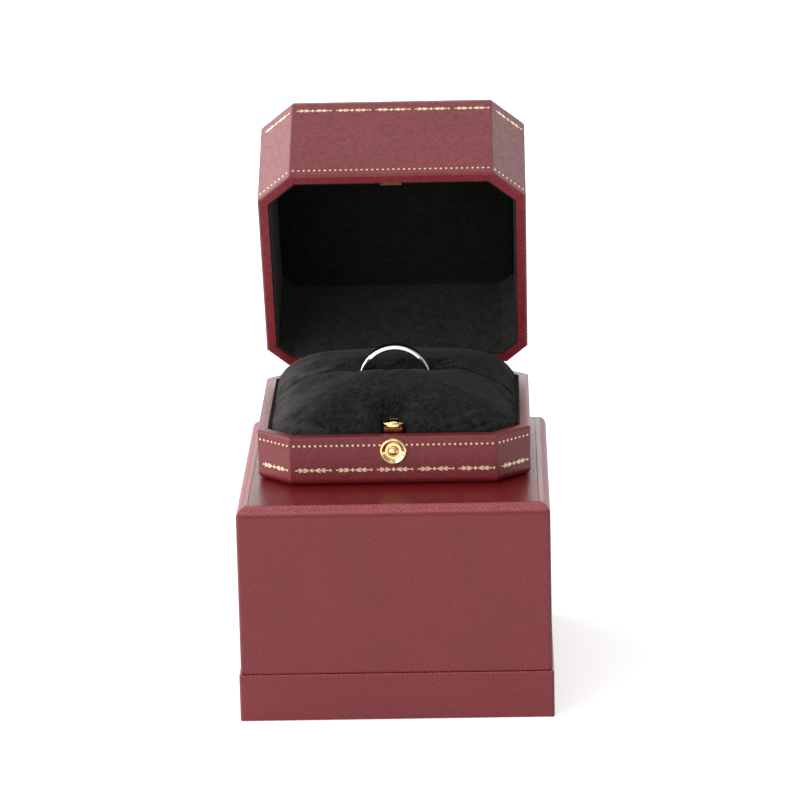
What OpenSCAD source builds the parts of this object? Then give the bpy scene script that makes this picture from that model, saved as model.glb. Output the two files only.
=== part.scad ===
// Hinged ring display box standing on its telescoping outer carton.
// The origin is the middle of the carton's underside: X to the right, Y to the back, Z up.

/* [Ring box] */
// Width of the ring box across the front
box_w = 65; // [60:0.5:70]
// Depth of the ring box from front to back
box_d = 60; // [56:0.5:66]
// Height of the base
base_h = 12; // [11.5:0.25:15]
// Height of the lid
lid_h = 30; // [29.5:0.5:36]
// Cut across each front corner, measured along the front
front_cut_x = 8; // [6:0.5:10]
// Cut across each front corner, measured along the side
front_cut_y = 7.5; // [6:0.5:10]
// Cut across each back corner, measured both ways
back_cut = 5.2; // [4:0.2:7]
// Thickness of the covered walls
wall_t = 2.4; // [2.1:0.1:2.8]
// Thickness of the lid's top board
lid_top_t = 1.8; // [1.5:0.1:2]
// Thickness of the base's bottom board
panel_t = 1.4; // [1:0.1:2]
// Rounding of the lid's top edge
lid_edge_r = 1.4; // [0.8:0.1:1.7]
// Rounding of the base's bottom edge
foot_edge_r = 1.8; // [1:0.1:2]
// Rounding of the covered rims
rim_edge_r = 0.5; // [0.3:0.05:0.8]
// Rounding of the eight upright edges
upright_edge_r = 0.6; // [0.3:0.1:1]
// Gap between the two rims when the lid is shut
rim_gap = 0.3; // [0.2:0.05:0.5]
// Angle at which the lid stands open
open_angle = 64.5; // [55:0.5:75]

/* [Lining] */
// Thickness of the suede-covered lining
lining_t = 0.6; // [0.4:0.1:0.8]
// How far the lining stays below a rim
lining_drop = 0.4; // [0.3:0.1:0.8]
// Thickness of the pad in the lid's top
lid_pad_t = 1.5; // [1:0.1:1.6]
// Thickness of the card under the cushion
card_t = 1; // [0.6:0.1:1.4]

/* [Ring cushion] */
// Height of the cushion's crown above the base's rim
crown_rise = 8.6; // [7:0.1:9]
// Depth of the lips that the slit draws down
slit_dip = 0.7; // [0.3:0.1:1]
// Room around the cushion inside its lining
cushion_gap = 0.3; // [0.2:0.05:0.5]
// Room at the ring's edge inside the slit
slit_play = 0.5; // [0.3:0.1:0.8]

/* [Ring] */
// Outside diameter of the ring
ring_d = 17.4; // [16.8:0.1:18.2]
// Thickness of the band
ring_t = 1.2; // [1:0.1:1.5]
// Width of the band
ring_w = 2.6; // [2:0.1:3.2]
// Height of the ring's top above the base's rim
ring_rise = 14.1; // [13.6:0.1:14.4]
// Place of the ring behind the middle of the box
ring_y = 2; // [-2:0.5:5]

/* [Hinge] */
// Length of the hinge
hinge_l = 44; // [38:1:48]
// Diameter of the hinge pin
hinge_pin_d = 1; // [0.8:0.05:1.1]
// Thickness of a knuckle's wall
knuckle_t = 0.55; // [0.45:0.05:0.6]
// Length of each of the four knuckles
knuckle_l = 8; // [6:0.5:9]
// Thickness of the hinge leaves
leaf_t = 0.35; // [0.3:0.05:0.4]
// Depth of a leaf inside its wall, measured from the rim
leaf_h = 5.5; // [4.5:0.25:6.5]
// Clearance between the barrel and the back wall
barrel_gap = 0.2; // [0.15:0.05:0.3]
// Wire diameter of the hinge spring
hinge_wire = 0.3; // [0.25:0.05:0.35]
// Length of the hinge spring's coil
hinge_coil_l = 6; // [5.5:0.25:6.5]

/* [Push button and catch] */
// Distance of the button's middle below the rim
button_drop = 3.6; // [3.5:0.1:3.8]
// Diameter of the button
button_d = 2.6; // [2.2:0.1:2.8]
// Diameter of the bezel round the button
bezel_d = 6.4; // [6:0.1:6.8]
// Height of the bezel in front of the wall
bezel_h = 0.85; // [0.6:0.05:1]
// Travel of the button
press = 0.5; // [0.4:0.05:0.6]
// Diameter of the catch's knob
knob_d = 4.9; // [4.4:0.1:5.2]
// Height of the knob
knob_h = 1.6; // [1.4:0.1:2]
// How far the knob reaches over the strike's lip
catch_bite = 0.35; // [0.25:0.05:0.4]
// Width of the catch lever
lever_w = 4.4; // [4:0.1:4.6]
// Thickness of the catch lever
lever_t = 1; // [0.8:0.1:1.1]
// Diameter of the catch's pivot pin
pivot_d = 1.2; // [1:0.1:1.3]
// Wire diameter of the catch spring
catch_wire = 0.3; // [0.25:0.05:0.32]
// Thickness of the bracket's sheet
bracket_t = 0.5; // [0.4:0.05:0.6]
// Thickness of the strike plate
strike_t = 0.35; // [0.3:0.05:0.4]

/* [Outer carton] */
// Width of the carton's lid
carton_w = 73.5; // [73:0.5:80]
// Depth of the carton's lid
carton_d = 77.5; // [74:0.5:84]
// Height of the carton's base
carton_base_h = 11.5; // [9:0.5:15]
// Height of the carton's lid
carton_lid_h = 41; // [38:0.5:48]
// Thickness of the lid's walls
carton_wall_t = 2; // [1.5:0.1:2.4]
// Thickness of the padded top
carton_top_t = 3; // [2.8:0.1:4]
// Thickness of the carton's floor
carton_floor_t = 1.8; // [1.2:0.1:2.5]
// Rounding of the padded top edge
carton_edge_r = 2.6; // [1.5:0.1:2.7]
// Rounding of the upright edges
carton_corner_r = 0.8; // [0.4:0.1:1.2]
// How far the base stands out past the lid on each side
carton_reveal = 0.4; // [0.2:0.1:0.8]
// Thickness of the neck that the lid slides over
neck_t = 1.2; // [0.9:0.1:1.5]
// Height of the neck above the base
neck_rise = 24; // [18:1:28]
// Clearance between the neck and the lid
neck_fit = 0.25; // [0.2:0.05:0.4]
// Place of the ring box behind the middle of the carton
stand_y = 8.6; // [0:0.2:8.6]

/* [Hidden] */
$fn = 48;
past = 0.5;        // how far a cut runs past the face it opens
running = 0.05;    // clearance round a turning or sliding pin
touch = 0.1;       // gap between the button's nose, the lever and the spring

// Places in the ring box's own frame: origin under the middle of its base, lid shut.
lid_z = base_h + rim_gap;
front_in = -box_d / 2 + wall_t;
back_in = box_d / 2 - wall_t;
floor_z = panel_t + 0.5;
card_z = floor_z + card_t;
carton_h = carton_base_h + carton_lid_h;

// Hinge
knuckle_r = hinge_pin_d / 2 + running + knuckle_t;
hinge_y = box_d / 2 + barrel_gap + knuckle_r;
hinge_z = base_h + rim_gap / 2;
leaf_edge_y = box_d / 2 - 0.05;
knuckle_gap = 0.2;
brad_d = 1;
brad_l = 1.2;
hinge_brad_x = [-hinge_l / 2 + 5, 0, hinge_l / 2 - 5];
hinge_brad_drop = leaf_h * 0.6;
coil_r = hinge_pin_d / 2 + 0.17 + hinge_wire / 2;
spring_leg = 1.6;
coil_turn = 7 * 360 + 180 - open_angle;

// Catch: the strike's lip, the lever behind it and the knob that bites over it
strike_w = 5;
strike_h = 7;
lip_reach = 0.95;
lip_lift = 0.15;
lip_t = 0.6;
lip_y = front_in + lip_reach;
lever_y = lip_y + 0.15;
lever_back_y = lever_y + lever_t;
knob_y = lip_y - catch_bite + knob_d / 2;
knob_z = lid_z + lip_lift + lip_t + 0.2;
tab_t = 0.5;
eye_r = pivot_d / 2 + running + 0.55;
pivot_y = lever_y + lever_t / 2;
pivot_z = panel_t + bracket_t + 0.3 + eye_r;
button_z = base_h - button_drop;
swing = press * (knob_z + knob_h - pivot_z) / (button_z - pivot_z);
ear_x = lever_w / 2 + 0.3;
ear_h = eye_r + 0.2;
bracket_flange = 1.4;
bracket_w = 2 * (ear_x + bracket_t + bracket_flange);
bracket_brad_d = 0.8;
notch_w = bracket_w + 0.6;
notch_y = knob_y + knob_d / 2 + swing + 0.4;
knob_room = knob_d / 2 + 0.5;
catch_coil_l = 2.7;
catch_coil_r = 0.95;
catch_coil_turns = 3;
seat_y = lever_back_y + catch_coil_l;
bracket_top_z = button_z + catch_coil_r + catch_wire + 0.6;
stud_r = 0.6;

// Carton
neck_w = carton_w - 2 * (carton_wall_t + neck_fit);
neck_d = carton_d - 2 * (carton_wall_t + neck_fit);

// Cushion and ring
crown_z = base_h + crown_rise;
belly_z = base_h - 1;
ring_r = ring_d / 2;
ring_z = base_h + ring_rise - ring_r;
cushion_in = wall_t + lining_t + cushion_gap;
slit_r = ring_r + slit_play;
slit_w = ring_w + 2 * 0.25;

box_outline = [
    [-box_w / 2 + front_cut_x, -box_d / 2], [box_w / 2 - front_cut_x, -box_d / 2],
    [box_w / 2, -box_d / 2 + front_cut_y], [box_w / 2, box_d / 2 - back_cut],
    [box_w / 2 - back_cut, box_d / 2], [-box_w / 2 + back_cut, box_d / 2],
    [-box_w / 2, box_d / 2 - back_cut], [-box_w / 2, -box_d / 2 + front_cut_y]
];

// Outward unit normal of side i of an anticlockwise outline.
function side_normal(p, i) =
    let (d = p[(i + 1) % len(p)] - p[i]) [d.y, -d.x] / norm(d);

// The outline with every side moved inwards by t and the corners kept sharp.
function inset(p, t) = [
    for (i = [0:len(p) - 1])
        let (a = side_normal(p, (i + len(p) - 1) % len(p)), b = side_normal(p, i))
        p[i] - t * (a + b) / (1 + a * b)
];

// ---------- shared forms ----------

// Half of a board's edge profile: the outer face at x = 0, with rounded top and bottom corners.
module edge_profile(h, top_r, bottom_r, reach = 90) {
    translate([-reach, bottom_r]) square([reach, h - top_r - bottom_r]);
    translate([-reach, 0]) square([reach - bottom_r, h]);
    translate([-reach, bottom_r]) square([reach - top_r, h - bottom_r]);
    translate([-top_r, h - top_r]) circle(top_r);
    translate([-bottom_r, bottom_r]) circle(bottom_r);
}

// Sweeps a profile along side i of an outline, with the profile's x pointing outwards.
module along_side(p, i) {
    mid = (p[i] + p[(i + 1) % len(p)]) / 2;
    n = side_normal(p, i);
    translate([mid.x, mid.y, 0]) rotate([0, 0, atan2(n.y, n.x)]) rotate([90, 0, 0])
        linear_extrude(180, center = true) children();
}

// An outline with its corners rounded: a circle in each corner, and the sides between them.
module softened(p, r) {
    centres = inset(p, r);
    last = len(p) - 1;
    polygon([
        for (i = [0:last]) for (side = [i == 0 ? last : i - 1, i]) centres[i] + r * side_normal(p, side)
    ]);
    for (c = centres) translate(c) circle(r);
}

// A solid block over an outline: its upright edges are rounded, and so are the long edges
// along its top and bottom, which meet in mitres.
module edged_block(p, h, top_r, bottom_r, upright_r) {
    intersection() {
        intersection_for (i = [0:len(p) - 1]) along_side(p, i) edge_profile(h, top_r, bottom_r);
        linear_extrude(h) softened(p, upright_r);
    }
}

// A straight-sided block over an outline.
module plain_block(p, z, h) {
    translate([0, 0, z]) linear_extrude(h) polygon(p);
}

function rectangle(w, d) = [[-w / 2, -d / 2], [w / 2, -d / 2], [w / 2, d / 2], [-w / 2, d / 2]];

// Moves ring box pieces from their own frame onto the carton.
module on_carton() {
    translate([0, stand_y, carton_h]) children();
}

// Swings lid pieces, drawn shut, up to the angle at which the lid stands.
module opened() {
    on_carton() translate([0, hinge_y, hinge_z]) rotate([-open_angle, 0, 0])
        translate([0, -hinge_y, -hinge_z]) children();
}

// Mirrors a base piece about the hinge's level, which gives the lid's matching piece.
module mirrored_at_hinge() {
    translate([0, 0, 2 * hinge_z]) mirror([0, 0, 1]) children();
}

// A round tube through a list of points, each given with its direction and its sideways axis.
module swept_tube(path, r, sides = 6) {
    n = len(path);
    points = [
        for (s = path, k = [0:sides - 1])
            s[0] + r * (cos(360 * k / sides) * s[2] + sin(360 * k / sides) * cross(s[1], s[2]))
    ];
    walls = [
        for (i = [0:n - 2], k = [0:sides - 1])
            let (a = i * sides + k, b = i * sides + (k + 1) % sides)
            each [[a, b + sides, b], [a, a + sides, b + sides]]
    ];
    ends = [
        for (k = [1:sides - 2])
            each [[0, k, k + 1], [(n - 1) * sides, (n - 1) * sides + k + 1, (n - 1) * sides + k]]
    ];
    polyhedron(points, concat(walls, ends), convexity = 10);
}

// ---------- outer carton ----------

// Shallow covered tray that the whole set stands on.
module carton_base() {
    color("#7d2a33") difference() {
        edged_block(
            rectangle(carton_w + 2 * carton_reveal, carton_d + 2 * carton_reveal),
            carton_base_h, 0.3, 0.5, carton_corner_r
        );
        translate([0, 0, carton_floor_t]) linear_extrude(carton_base_h)
            square([neck_w, neck_d], center = true);
    }
}

// Card neck glued inside the tray: the lid slides down over it.
module carton_neck() {
    color("#1d1b1b") translate([0, 0, carton_floor_t])
        linear_extrude(carton_base_h + neck_rise - carton_floor_t) difference() {
            square([neck_w, neck_d], center = true);
            square([neck_w - 2 * neck_t, neck_d - 2 * neck_t], center = true);
        }
}

// Deep lift-off lid with a padded top edge.
module carton_lid() {
    color("#84474e") translate([0, 0, carton_base_h]) difference() {
        edged_block(
            rectangle(carton_w, carton_d), carton_lid_h, carton_edge_r, 0.3, carton_corner_r
        );
        translate([0, 0, -past]) linear_extrude(carton_lid_h - carton_top_t + past)
            square([carton_w - 2 * carton_wall_t, carton_d - 2 * carton_wall_t], center = true);
    }
}

// ---------- ring box: shells ----------

// Recesses for the hinge leaf: along the rim, down the wall's inside, and for the spring's leg.
module leaf_recess(leg_x) {
    translate([-hinge_l / 2 - 0.2, back_in - past, base_h - leaf_t])
        cube([hinge_l + 0.4, wall_t + 2 * past, leaf_t + past]);
    translate([-hinge_l / 2 - 0.2, back_in - past, base_h - leaf_h - 0.1])
        cube([hinge_l + 0.4, leaf_t + past, leaf_h]);
    translate([leg_x - 2 * hinge_wire, back_in - past, hinge_z - coil_r - 1.5 * hinge_wire])
        cube([4 * hinge_wire, wall_t + 2 * past, coil_r]);
    for (x = hinge_brad_x)
        translate([x, back_in, base_h - hinge_brad_drop])
            rotate([-90, 0, 0]) cylinder(d = brad_d, h = leaf_t + brad_l);
}

// Octagonal base frame, wrapped in leatherette: open at the top, closed below by its panel.
module base_shell() {
    color("#84474e") on_carton() difference() {
        edged_block(box_outline, base_h, rim_edge_r, foot_edge_r, upright_edge_r);
        plain_block(inset(box_outline, wall_t), -past, base_h + 2 * past);
        translate([0, -box_d / 2 - past, button_z]) rotate([-90, 0, 0])
            cylinder(r = bezel_sleeve_r + 0.02, h = wall_t + 2 * past);
        leaf_recess(-hinge_coil_l / 2);
    }
}

// Bottom board pushed into the frame.
module base_panel() {
    color("#3a1a1c") on_carton() difference() {
        plain_block(inset(box_outline, wall_t), 0, panel_t);
        at_bracket_brads() cylinder(d = bracket_brad_d, h = 2, center = true);
    }
}

// Octagonal lid, wrapped like the base.
module lid_shell() {
    color("#8c4450") opened() difference() {
        translate([0, 0, lid_z])
            edged_block(box_outline, lid_h, lid_edge_r, rim_edge_r, upright_edge_r);
        plain_block(inset(box_outline, wall_t), lid_z - past, lid_h - lid_top_t + past);
        mirrored_at_hinge() leaf_recess(hinge_coil_l / 2);
        at_strike_brads() rotate([90, 0, 0]) cylinder(d = 0.8, h = 1.4);
    }
}

// ---------- ring box: linings and cushion ----------

// The pocket that the catch works in, cut through the lining, the card and the cushion's foot.
module catch_notch(top) {
    translate([-notch_w / 2, front_in - past, panel_t - past])
        cube([notch_w, notch_y - front_in + past, top - panel_t + past]);
}

// The narrower part of the pocket, round the knob, that shows in the cushion's crown.
module knob_notch() {
    translate([-knob_room, front_in - past, belly_z - 2 * past])
        cube([2 * knob_room, notch_y - knob_room - front_in + past, crown_rise + 2]);
    translate([0, notch_y - knob_room, belly_z - 2 * past]) cylinder(r = knob_room, h = crown_rise + 2);
}

// Suede-covered liner of the base: a thin tray.
module base_lining() {
    color("#171816") on_carton() difference() {
        plain_block(inset(box_outline, wall_t), panel_t, base_h - lining_drop - panel_t);
        plain_block(inset(box_outline, wall_t + lining_t), floor_z, base_h);
        catch_notch(base_h);
    }
}

// Card that stiffens the underside of the cushion.
module cushion_card() {
    color("#4a4038") on_carton() difference() {
        plain_block(inset(box_outline, cushion_in), floor_z, card_t);
        catch_notch(base_h);
    }
}

// Distance to the cushion's widest outline in direction a, with its corners softened.
cushion_sides = inset(box_outline, cushion_in);
function reach_at(a) =
    let (u = [cos(a), sin(a)], sides = [
        for (i = [0:len(cushion_sides) - 1])
            let (n = side_normal(cushion_sides, i)) max(0, n * u / (n * cushion_sides[i]))
    ])
    1 / pow([for (s = sides) pow(s, 14)] * [for (s = sides) 1], 1 / 14);

// Height of the crown at a share s of the way out, less the dip where the slit draws the lips in.
function crown_at(s, x, y) =
    belly_z + (crown_z - belly_z) * pow(1 - pow(s, 2.8), 1 / 2.8)
        - slit_dip * exp(-pow((y - ring_y) / 2.6, 2)) * exp(-pow(x / (slit_r + 1), 6));

// Crowned pillow with drawn-in sides, slit across for the ring.
module ring_cushion() {
    around = 60;
    body_rings = [[0.965, card_z], [0.985, card_z + 2], [0.997, (card_z + belly_z) / 2 + 1]];
    crown_shares = [1, 0.985, 0.955, 0.91, 0.85, 0.77, 0.67, 0.55, 0.42, 0.3, 0.19, 0.09];
    angles = [for (k = [0:around - 1]) 360 * k / around];
    lower = [
        for (r = body_rings, a = angles) [r[0] * reach_at(a) * cos(a), r[0] * reach_at(a) * sin(a), r[1]]
    ];
    upper = [
        for (s = crown_shares, a = angles)
            let (x = s * reach_at(a) * cos(a), y = s * reach_at(a) * sin(a)) [x, y, crown_at(s, x, y)]
    ];
    rings = len(body_rings) + len(crown_shares);
    walls = [
        for (i = [0:rings - 2], k = [0:around - 1])
            let (a = i * around + k, b = i * around + (k + 1) % around)
            each [[a, b + around, b], [a, a + around, b + around]]
    ];
    last = (rings - 1) * around;
    bottom = [for (k = [0:around - 1]) [rings * around, k, (k + 1) % around]];
    top = [for (k = [0:around - 1]) [rings * around + 1, last + (k + 1) % around, last + k]];
    color("#2a2a29") on_carton() difference() {
        polyhedron(
            concat(lower, upper, [[0, 0, card_z], [0, 0, crown_at(0, 0, 0)]]),
            concat(walls, bottom, top), convexity = 6
        );
        translate([0, ring_y, ring_z]) rotate([90, 0, 0])
            cylinder(r = slit_r, h = slit_w, center = true);
        translate([-slit_r, ring_y - slit_w / 2, ring_z]) cube([2 * slit_r, slit_w, crown_z]);
        catch_notch(bracket_top_z + 0.3);
        knob_notch();
    }
}

// Suede-covered liner of the lid's walls.
module lid_lining() {
    color("#171816") opened() difference() {
        plain_block(
            inset(box_outline, wall_t), lid_z + lining_drop, lid_h - lid_top_t - lining_drop
        );
        plain_block(inset(box_outline, wall_t + lining_t), lid_z, lid_h);
        translate([-strike_w / 2 - 0.2, front_in - past, lid_z - past])
            cube([strike_w + 0.4, lining_t + 2 * past, strike_h + lip_lift + past + 0.2]);
    }
}

// Thin padded board in the lid's top.
module lid_pad() {
    color("#1c1b1a") opened() translate([0, 0, lid_z + lid_h - lid_top_t - lid_pad_t])
        edged_block(inset(box_outline, wall_t + lining_t), lid_pad_t, 0.05, 0.9, 0.3);
}

// ---------- hinge ----------

// Spans of the base's and the lid's knuckles along the barrel.
base_knuckles = [-hinge_l / 2, hinge_l / 2 - knuckle_l];
lid_knuckles = [
    -hinge_l / 2 + knuckle_l + knuckle_gap, hinge_l / 2 - 2 * knuckle_l - knuckle_gap
];

// A leaf in its place on the base: leg inside the wall, flange in the rim, knuckles behind.
module hinge_leaf(starts) {
    difference() {
        union() {
            translate([-hinge_l / 2, back_in, base_h - leaf_h]) cube([hinge_l, leaf_t, leaf_h]);
            translate([-hinge_l / 2, back_in, base_h - leaf_t])
                cube([hinge_l, leaf_edge_y - back_in, leaf_t]);
            for (x = starts) {
                translate([x, back_in, base_h - leaf_t])
                    cube([knuckle_l, hinge_y - back_in, leaf_t]);
                translate([x, hinge_y, hinge_z]) rotate([0, 90, 0])
                    cylinder(r = knuckle_r, h = knuckle_l);
            }
        }
        translate([-hinge_l, hinge_y, hinge_z]) rotate([0, 90, 0])
            cylinder(r = hinge_pin_d / 2 + running, h = 2 * hinge_l);
        for (x = hinge_brad_x) translate([x, back_in - past, base_h - hinge_brad_drop])
            rotate([-90, 0, 0]) cylinder(d = brad_d, h = leaf_t + 2 * past);
    }
}

module base_hinge_leaf() {
    color("#d9b45c") on_carton() hinge_leaf(base_knuckles);
}

module lid_hinge_leaf() {
    color("#d9b45c") opened() mirrored_at_hinge() hinge_leaf(lid_knuckles);
}

// Pin with a peened head at each end.
module hinge_pin() {
    color("#c9a24c") on_carton() translate([0, hinge_y, hinge_z]) rotate([0, 90, 0]) {
        cylinder(d = hinge_pin_d, h = hinge_l + 0.2, center = true);
        for (s = [-1, 1]) translate([0, 0, s * (hinge_l / 2 + 0.25)])
            cylinder(d = 1.6 * hinge_pin_d, h = 0.3, center = true);
    }
}

// Short nails that hold a leaf to its wall, hidden by the lining.
module leaf_brads() {
    for (x = hinge_brad_x) translate([x, back_in, base_h - hinge_brad_drop]) rotate([-90, 0, 0])
        cylinder(d = brad_d - 0.04, h = leaf_t + brad_l - 0.1);
}

module base_leaf_brads() {
    color("#b08d45") on_carton() leaf_brads();
}

module lid_leaf_brads() {
    color("#b08d45") opened() mirrored_at_hinge() leaf_brads();
}

// One ring of the hinge spring's path: turn a along the coil, as place, direction and side.
function coil_step(a, turn, r, l) =
    let (p = l / turn * 180 / PI, out = [0, cos(a - 90), sin(a - 90)])
    [[-l / 2 + l * a / turn, r * out.y, r * out.z], unit([p, -r * out.z, r * out.y]), out];
function unit(v) = v / norm(v);

// The hinge spring's path: a leg in the base's rim, the coil round the pin, a leg in the lid's rim.
hinge_coil = [
    for (k = [0:16 * 7 + 8]) coil_step(coil_turn * k / (16 * 7 + 8), coil_turn, coil_r, hinge_coil_l)
];
hinge_spring_path = let (
    a = hinge_coil[0], z = hinge_coil[len(hinge_coil) - 1],
    in_dir = [0, 1, 0], out_dir = [0, -z[2].z, z[2].y]
) concat(
    [[a[0] - (spring_leg + 1) * in_dir, in_dir, a[2]], [a[0] - 0.5 * in_dir, in_dir, a[2]]],
    hinge_coil,
    [[z[0] + 0.5 * out_dir, out_dir, z[2]], [z[0] + (spring_leg + 1) * out_dir, out_dir, z[2]]]
);
hinge_coil_gap = hinge_coil_l / (coil_turn / 360) - hinge_wire;
echo(hinge_coil_gap = hinge_coil_gap);

module hinge_spring() {
    color("#b9b9b4") on_carton() translate([0, hinge_y, hinge_z])
        swept_tube(hinge_spring_path, hinge_wire / 2);
}

// ---------- push button and catch ----------

bezel_sleeve_r = button_d / 2 + 0.8;
bezel_sleeve_l = wall_t + 0.2;
collar_r = button_d / 2 + 0.45;

// Turns a profile, drawn as radius and height, so that its height points out of the front wall.
module on_button_axis() {
    on_carton() translate([0, -box_d / 2, button_z]) rotate([90, 0, 0]) children();
}

// Dished gilt rosette with a sleeve through the wall.
module button_bezel() {
    lip = bezel_h / 2;
    color("#e9cf8a") on_button_axis() rotate_extrude() difference() {
        union() {
            translate([button_d / 2 + 0.06, 0]) square([bezel_d / 2 - button_d / 2 - 0.06 - lip, bezel_h]);
            translate([bezel_d / 2 - lip, 0]) square([lip, lip]);
            translate([bezel_d / 2 - lip, lip]) circle(lip);
            translate([button_d / 2 + 0.06, -bezel_sleeve_l]) square([0.74, bezel_sleeve_l + 0.1]);
        }
        polygon([
            [0, 0.15], [button_d / 2 + 0.65, 0.15], [button_d / 2 + 0.65, 0.4],
            [bezel_d / 2 - 0.5, bezel_h], [bezel_d / 2 - 0.5, bezel_h + 1], [0, bezel_h + 1]
        ]);
    }
}

// Domed button: it slides in the bezel, and a collar behind the sleeve keeps it in.
module push_button() {
    nose_end = lever_y + box_d / 2 - touch;
    color("#f0d896") on_button_axis() {
        translate([0, 0, -bezel_sleeve_l - 0.3]) cylinder(d = button_d, h = bezel_sleeve_l + 0.3);
        sphere(d = button_d);
        translate([0, 0, -bezel_sleeve_l - 0.4]) cylinder(r = collar_r, h = 0.3);
        translate([0, 0, -nose_end + 0.9]) sphere(r = 0.9);
    }
}

// Folded brass lever: an eye on the pivot, a shank up behind the rim and a tab under the knob.
module catch_lever() {
    color("#dcb863") on_carton() difference() {
        rotate([90, 0, 90]) linear_extrude(lever_w, center = true) {
            translate([pivot_y, pivot_z]) circle(eye_r);
            translate([lever_y, pivot_z]) square([lever_t, knob_z - tab_t - pivot_z]);
            translate([lever_y + tab_t, knob_z - tab_t]) circle(tab_t);
            translate([lever_y + tab_t, knob_z - tab_t]) square([knob_y + 1.4 - lever_y - tab_t, tab_t]);
            translate([lever_y, knob_z - 2 * tab_t]) square([lever_t, tab_t]);
        }
        translate([-lever_w, pivot_y, pivot_z]) rotate([0, 90, 0])
            cylinder(d = pivot_d + 2 * running, h = 2 * lever_w);
        translate([0, knob_y, knob_z - tab_t - past]) cylinder(r = stud_r, h = tab_t + 2 * past);
    }
}

// Turned knob with a collar, a neck and a domed top, riveted through the lever's tab.
module catch_knob() {
    r = knob_d / 2;
    cap_r = r - 0.35;
    cap_h = knob_h - 1.05;
    dome = (cap_r * cap_r + cap_h * cap_h) / (2 * cap_h);
    color("#f4dfa4") on_carton() translate([0, knob_y, knob_z]) rotate_extrude() {
        square([r - 0.2, 0.85]);
        translate([0, 0.2]) square([r, 0.45]);
        translate([r - 0.2, 0.2]) circle(0.2);
        translate([r - 0.2, 0.65]) circle(0.2);
        translate([0, 0.8]) square([cap_r - 0.2, 0.3]);
        translate([0, -tab_t - 0.25]) square([stud_r - 0.02, tab_t + 0.3]);
        intersection() {
            translate([0, knob_h - dome]) circle(dome);
            translate([0, 1.05]) square([cap_r, cap_h + 1]);
        }
    }
}

// Pivot pin of the catch, held in the bracket's two ears.
module catch_pivot() {
    color("#b9b9b4") on_carton() translate([0, pivot_y, pivot_z]) rotate([0, 90, 0])
        cylinder(d = pivot_d, h = 2 * (ear_x + bracket_t) + 0.4, center = true);
}

module at_bracket_brads() {
    for (x = [-1, 1])
        translate([x * (bracket_w - bracket_flange) / 2, seat_y - 1.2, panel_t]) children();
}

// Folded bracket: a foot on the panel, two ears for the pivot and a back plate for the spring.
module catch_bracket() {
    color("#8f8d86") on_carton() difference() {
        union() {
            translate([-bracket_w / 2, pivot_y - eye_r, panel_t])
                cube([bracket_w, seat_y + bracket_t - pivot_y + eye_r, bracket_t]);
            for (s = [-1, 1]) translate([s * (ear_x + bracket_t / 2), 0, 0]) {
                translate([-bracket_t / 2, pivot_y - eye_r, panel_t])
                    cube([bracket_t, seat_y + bracket_t - pivot_y + eye_r, pivot_z + ear_h - panel_t]);
            }
            translate([-ear_x - bracket_t, seat_y, panel_t])
                cube([2 * (ear_x + bracket_t), bracket_t, bracket_top_z - panel_t]);
        }
        translate([-bracket_w, pivot_y, pivot_z]) rotate([0, 90, 0])
            cylinder(d = pivot_d, h = 2 * bracket_w);
        at_bracket_brads() cylinder(d = bracket_brad_d, h = 3, center = true);
    }
}

// Two nails that hold the bracket to the panel.
module bracket_brads() {
    color("#b08d45") on_carton() at_bracket_brads() {
        translate([0, 0, -0.95]) cylinder(d = bracket_brad_d - 0.04, h = bracket_t + 1);
        translate([0, 0, bracket_t]) cylinder(d = 1.2, h = 0.3);
    }
}

// Coil spring that presses the lever, and the button before it, to the front.
catch_pitch = (catch_coil_l - catch_wire - 2 * touch) / catch_coil_turns;
echo(catch_coil_gap = catch_pitch - catch_wire);
module catch_spring() {
    turn = 360 * catch_coil_turns;
    path = [
        for (k = [0:16 * catch_coil_turns])
            coil_step(turn * k / (16 * catch_coil_turns), turn, catch_coil_r, catch_pitch * catch_coil_turns)
    ];
    color("#b9b9b4") on_carton() translate([0, lever_back_y + catch_coil_l / 2, button_z])
        rotate([0, 0, 90]) swept_tube(path, catch_wire / 2);
}

module at_strike_brads() {
    for (x = [-1, 1])
        translate([x * 1.4, front_in + strike_t, lid_z + lip_lift + strike_h * 0.65]) children();
}

// Strike plate inside the lid's front wall: its lip is what the knob holds.
module strike_plate() {
    color("#d9c48c") opened() difference() {
        translate([-strike_w / 2, front_in, lid_z + lip_lift]) {
            cube([strike_w, strike_t, strike_h]);
            cube([strike_w, lip_reach, lip_t]);
        }
        at_strike_brads() rotate([90, 0, 0]) cylinder(d = 0.8, h = 3, center = true);
    }
}

module strike_brads() {
    color("#b08d45") opened() at_strike_brads() {
        rotate([90, 0, 0]) cylinder(d = 0.76, h = 1.3);
        rotate([-90, 0, 0]) cylinder(d = 1.2, h = 0.2);
    }
}

// ---------- ring ----------

// Polished band with softened edges, standing in the cushion's slit.
module ring_band() {
    edge = 0.35;
    color("#e8e8e6") on_carton() translate([0, ring_y, ring_z]) rotate([90, 0, 0]) rotate_extrude($fn = 96)
        translate([ring_r - ring_t / 2, 0]) softened(rectangle(ring_t, ring_w), edge);
}

carton_base();
carton_neck();
carton_lid();
base_shell();
base_panel();
base_lining();
cushion_card();
ring_cushion();
lid_shell();
lid_lining();
lid_pad();
base_hinge_leaf();
lid_hinge_leaf();
hinge_pin();
hinge_spring();
base_leaf_brads();
lid_leaf_brads();
strike_plate();
strike_brads();
push_button();
button_bezel();
catch_lever();
catch_knob();
catch_pivot();
catch_bracket();
bracket_brads();
catch_spring();
ring_band();
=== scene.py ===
import math

import bpy
import numpy as np
from mathutils import Matrix, Vector


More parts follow.
